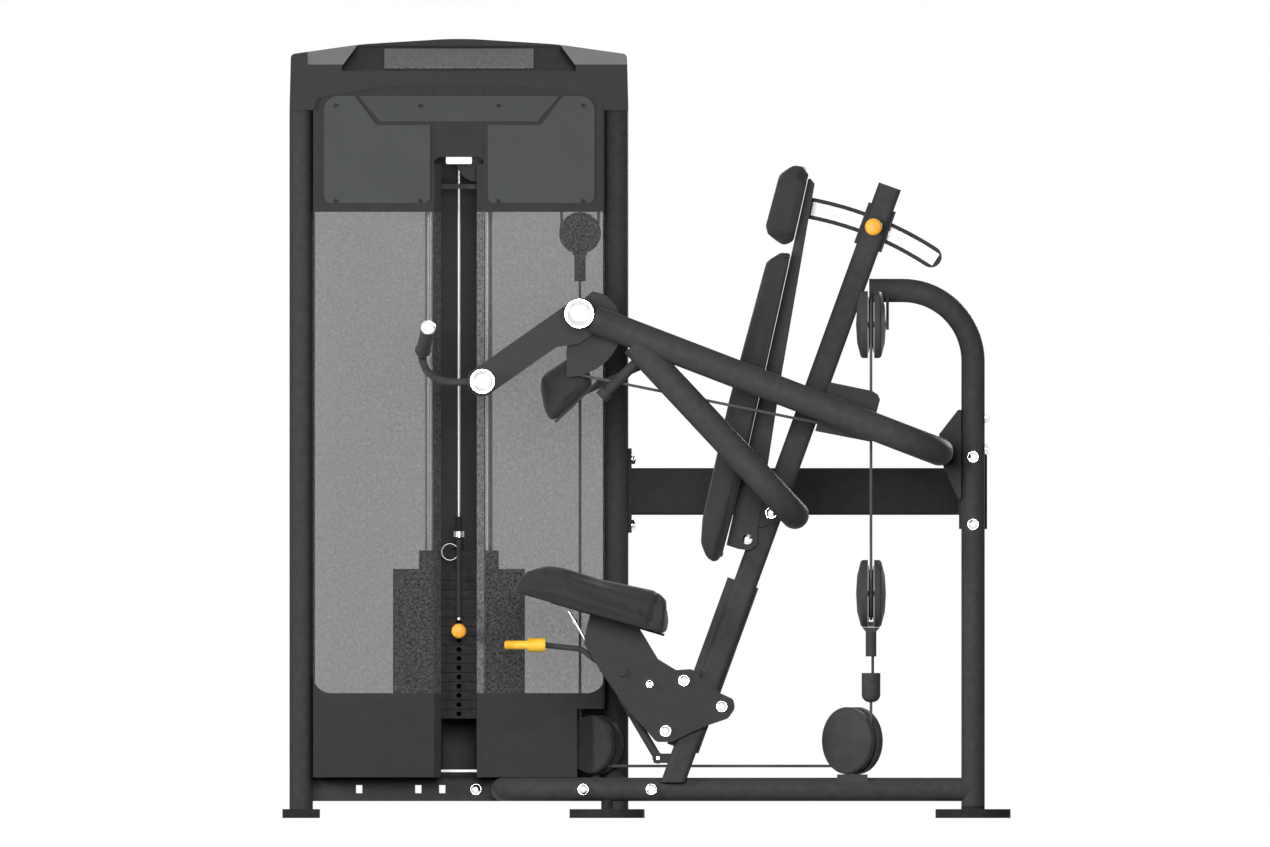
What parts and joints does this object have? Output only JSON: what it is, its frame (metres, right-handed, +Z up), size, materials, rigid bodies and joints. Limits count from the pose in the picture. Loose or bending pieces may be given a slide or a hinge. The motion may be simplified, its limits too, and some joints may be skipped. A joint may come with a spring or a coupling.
{
  "type": "biceps curl machine",
  "caption": "Seated biceps curl machine with a weight tower at one side, swinging arms with handles, sliding seat and tilting backrest.",
  "frame": {"origin": "on the floor under the middle of the whole machine", "axes": "+X from the user's knees towards the back, +Y from the open side towards the weight tower, +Z up"},
  "size_m": [1.551, 1.075, 1.6596],
  "materials": {
    "black_paint": "satin black powder coat",
    "chrome": "polished chrome",
    "steel": "ground steel",
    "plate_iron": "black painted iron",
    "rubber": "matt rubber",
    "vinyl": "matt vinyl over foam",
    "shroud": "matt dark grey",
    "mesh_grey": "translucent grey with fine speckle",
    "placard": "matt print",
    "orange": "orange plastic",
    "black_plastic": "matt black plastic",
    "cable": "dark coated cable",
    "cable_light": "bare steel cable"
  },
  "bodies": {
    "frame": {"tower_posts": "black_paint", "tower_inner_frame": "black_paint", "front_shroud": "shroud", "mesh_panels": "mesh_grey", "rear_shroud": "shroud", "crown_cap": "black_paint", "placards": "placard", "resting_plates": "plate_iron", "rubber_feet": "rubber", "base_rail": "black_paint", "link_tube": "black_paint", "column": "black_paint", "rear_upright": "black_paint", "mid_beam": "black_paint", "arm_frame": "black_paint", "frame_brackets": "black_paint", "hub_housings": "black_paint", "elbow_pads": "vinyl", "pulley_covers": "black_plastic", "pulley_box": "black_paint", "fixed_cables": "cable", "frame_bolts": "chrome", "stack_strand": "cable_light", "tower_strands_upper": "cable", "tower_strand_lower": "cable", "floating_strands": "cable", "floating_strand_lower": "cable"},
    "arm_left": {"curl_lever_left": "black_paint"},
    "arm_right": {"curl_lever_right": "black_paint"},
    "handle_left": {"handle_left": "black_paint", "grip_left": "rubber"},
    "handle_right": {"handle_right": "black_paint", "grip_right": "rubber"},
    "run_left": {"cable_run_left": "cable"},
    "run_right": {"cable_run_right": "cable"},
    "stack": {"lifted_plates": "plate_iron", "head_plate": "plate_iron", "pin_lanyard": "cable"},
    "selector": {"selector_pin": "orange"},
    "tower_float": {"tower_floating_block": "black_paint"},
    "tower_float_wheel": {"tower_floating_wheel": "black_plastic"},
    "stack_pulley": {"tower_pulley_stack": "black_plastic"},
    "side_pulley": {"tower_pulley_side": "black_plastic"},
    "low_pulley": {"tower_pulley_low": "black_plastic"},
    "top_left": {"top_pulley_left": "black_plastic"},
    "top_right": {"top_pulley_right": "black_plastic"},
    "box_left": {"box_pulley_left": "black_plastic"},
    "box_right": {"box_pulley_right": "black_plastic"},
    "floor_wheel": {"floor_pulley": "black_plastic"},
    "float_block": {"floating_block": "black_paint"},
    "float_wheel": {"floating_wheel": "black_plastic"},
    "seat": {"seat_carriage": "black_paint", "seat_pad": "vinyl"},
    "release": {"release_lever": "black_paint"},
    "strut_body": {"strut_cylinder": "black_paint"},
    "strut_piston": {"strut_rod": "steel"},
    "backrest": {"backrest_frame": "black_paint", "back_pads": "vinyl", "quadrant": "black_paint"},
    "lock": {"lock_pin": "orange"}
  },
  "joints": [
    {"name": "arm_left_curl", "type": "hinge", "parent": "frame", "child": "arm_left", "pos_m": [-0.1433, -0.4395, 1.0746], "axis": [0, 1, 0], "range_deg": [0, 115]},
    {"name": "handle_left_swivel", "type": "hinge", "parent": "arm_left", "child": "handle_left", "pos_m": [-0.34964, -0.4395, 0.93012], "axis": [0, 1, 0], "range_deg": [-30, 30]},
    {"name": "run_left_swing", "type": "hinge", "parent": "frame", "child": "run_left", "pos_m": [0.4392, -0.3785, 0.8665], "axis": [0, 1, 0], "range_deg": [0, 5.79]},
    {"name": "box_left_spin", "type": "hinge", "parent": "frame", "child": "box_left", "pos_m": [0.4392, -0.3785, 0.8665], "axis": [0, 1, 0], "range_deg": [0, 290]},
    {"name": "top_left_spin", "type": "hinge", "parent": "frame", "child": "top_left", "pos_m": [0.4782, -0.3245, 1.051], "axis": [1, 0, 0], "range_deg": [0, 209.7]},
    {"name": "arm_right_curl", "type": "hinge", "parent": "frame", "child": "arm_right", "pos_m": [-0.1433, 0.0945, 1.0746], "axis": [0, 1, 0], "range_deg": [0, 115]},
    {"name": "handle_right_swivel", "type": "hinge", "parent": "arm_right", "child": "handle_right", "pos_m": [-0.34964, 0.0945, 0.93012], "axis": [0, 1, 0], "range_deg": [-30, 30]},
    {"name": "run_right_swing", "type": "hinge", "parent": "frame", "child": "run_right", "pos_m": [0.4392, 0.0335, 0.8665], "axis": [0, 1, 0], "range_deg": [0, 5.79]},
    {"name": "box_right_spin", "type": "hinge", "parent": "frame", "child": "box_right", "pos_m": [0.4392, 0.0335, 0.8665], "axis": [0, 1, 0], "range_deg": [0, 290]},
    {"name": "top_right_spin", "type": "hinge", "parent": "frame", "child": "top_right", "pos_m": [0.4782, -0.0205, 1.051], "axis": [1, 0, 0], "range_deg": [-209.7, 0]},
    {"name": "float_block_lift", "type": "slide", "parent": "frame", "child": "float_block", "axis": [0, 0, 1], "range_m": [0, 0.0988], "deforming": ["floating_strands", "floating_strand_lower"]},
    {"name": "float_wheel_spin", "type": "hinge", "parent": "float_block", "child": "float_wheel", "pos_m": [0.4782, -0.1725, 0.4782], "axis": [1, 0, 0], "range_deg": [-105.4, 0]},
    {"name": "floor_wheel_spin", "type": "hinge", "parent": "frame", "child": "floor_wheel", "pos_m": [0.43845, -0.13595, 0.1648], "axis": [-0.6769, -0.7361, 0], "range_deg": [0, 105.4]},
    {"name": "low_pulley_spin", "type": "hinge", "parent": "frame", "child": "low_pulley", "pos_m": [-0.10774, 0.36636, 0.1568], "axis": [-0.6769, -0.7361, 0], "range_deg": [0, 123.5]},
    {"name": "tower_float_drop", "type": "slide", "parent": "frame", "child": "tower_float", "axis": [0, 0, 1], "range_m": [-0.0988, 0], "deforming": ["tower_strands_upper", "tower_strand_lower"]},
    {"name": "tower_float_wheel_spin", "type": "hinge", "parent": "tower_float", "child": "tower_float_wheel", "pos_m": [-0.1416, 0.3975, 1.246], "axis": [0, 1, 0], "range_deg": [-145.5, 0]},
    {"name": "stack_pulley_spin", "type": "hinge", "parent": "frame", "child": "stack_pulley", "pos_m": [-0.3605, 0.3975, 1.4], "axis": [0, 1, 0], "range_deg": [0, 290]},
    {"name": "side_pulley_spin", "type": "hinge", "parent": "frame", "child": "side_pulley", "pos_m": [-0.2196, 0.3975, 1.4], "axis": [0, 1, 0], "range_deg": [0, 290]},
    {"name": "stack_lift", "type": "slide", "parent": "frame", "child": "stack", "axis": [0, 0, 1], "range_m": [0, 0.1977], "deforming": ["stack_strand"]},
    {"name": "selector_pull", "type": "slide", "parent": "stack", "child": "selector", "axis": [0, -1, 0], "range_m": [0, 0.07]},
    {"name": "seat_height", "type": "slide", "parent": "frame", "child": "seat", "axis": [0.342, 0, 0.9397], "range_m": [0, 0.1]},
    {"name": "release_push", "type": "hinge", "parent": "seat", "child": "release", "pos_m": [-0.0862, -0.1725, 0.3195], "axis": [0, 1, 0], "range_deg": [-12, 0]},
    {"name": "strut_swing", "type": "hinge", "parent": "frame", "child": "strut_body", "pos_m": [0.0245, -0.1725, 0.1278], "axis": [0, 1, 0], "range_deg": [0, 14.34]},
    {"name": "strut_stroke", "type": "slide", "parent": "strut_body", "child": "strut_piston", "axis": [-0.5095, 0, 0.8605], "range_m": [0, 0.0718]},
    {"name": "backrest_tilt", "type": "hinge", "parent": "frame", "child": "backrest", "pos_m": [0.2147, -0.1725, 0.5934], "axis": [0, 1, 0], "range_deg": [-7.5, 7.5]},
    {"name": "lock_pull", "type": "slide", "parent": "frame", "child": "lock", "axis": [0, -1, 0], "range_m": [0, 0.012], "stiffness_N_per_m": 250}
  ],
  "couplings": [
    {"joint": "run_left_swing", "follows": "arm_left_curl", "ratio": 0.04857},
    {"joint": "box_left_spin", "follows": "arm_left_curl", "ratio": 2.5128},
    {"joint": "top_left_spin", "follows": "arm_left_curl", "ratio": 1.8148},
    {"joint": "run_right_swing", "follows": "arm_right_curl", "ratio": 0.04857},
    {"joint": "box_right_spin", "follows": "arm_right_curl", "ratio": 2.5128},
    {"joint": "top_right_spin", "follows": "arm_right_curl", "ratio": -1.8148},
    {"joint": "float_block_lift", "follows": "arm_left_curl", "m_per_rad": 0.049},
    {"joint": "float_wheel_spin", "follows": "arm_left_curl", "ratio": -0.90741},
    {"joint": "floor_wheel_spin", "follows": "arm_left_curl", "ratio": 0.90741},
    {"joint": "low_pulley_spin", "follows": "arm_left_curl", "ratio": 1.0652},
    {"joint": "tower_float_drop", "follows": "arm_left_curl", "m_per_rad": -0.049},
    {"joint": "tower_float_wheel_spin", "follows": "arm_left_curl", "ratio": -1.2564},
    {"joint": "stack_pulley_spin", "follows": "arm_left_curl", "ratio": 2.5128},
    {"joint": "side_pulley_spin", "follows": "arm_left_curl", "ratio": 2.5128},
    {"joint": "stack_lift", "follows": "arm_left_curl", "m_per_rad": 0.098},
    {"joint": "strut_swing", "follows": "seat_height", "rad_per_m": 2.486},
    {"joint": "strut_stroke", "follows": "seat_height", "ratio": 0.713}
  ]
}
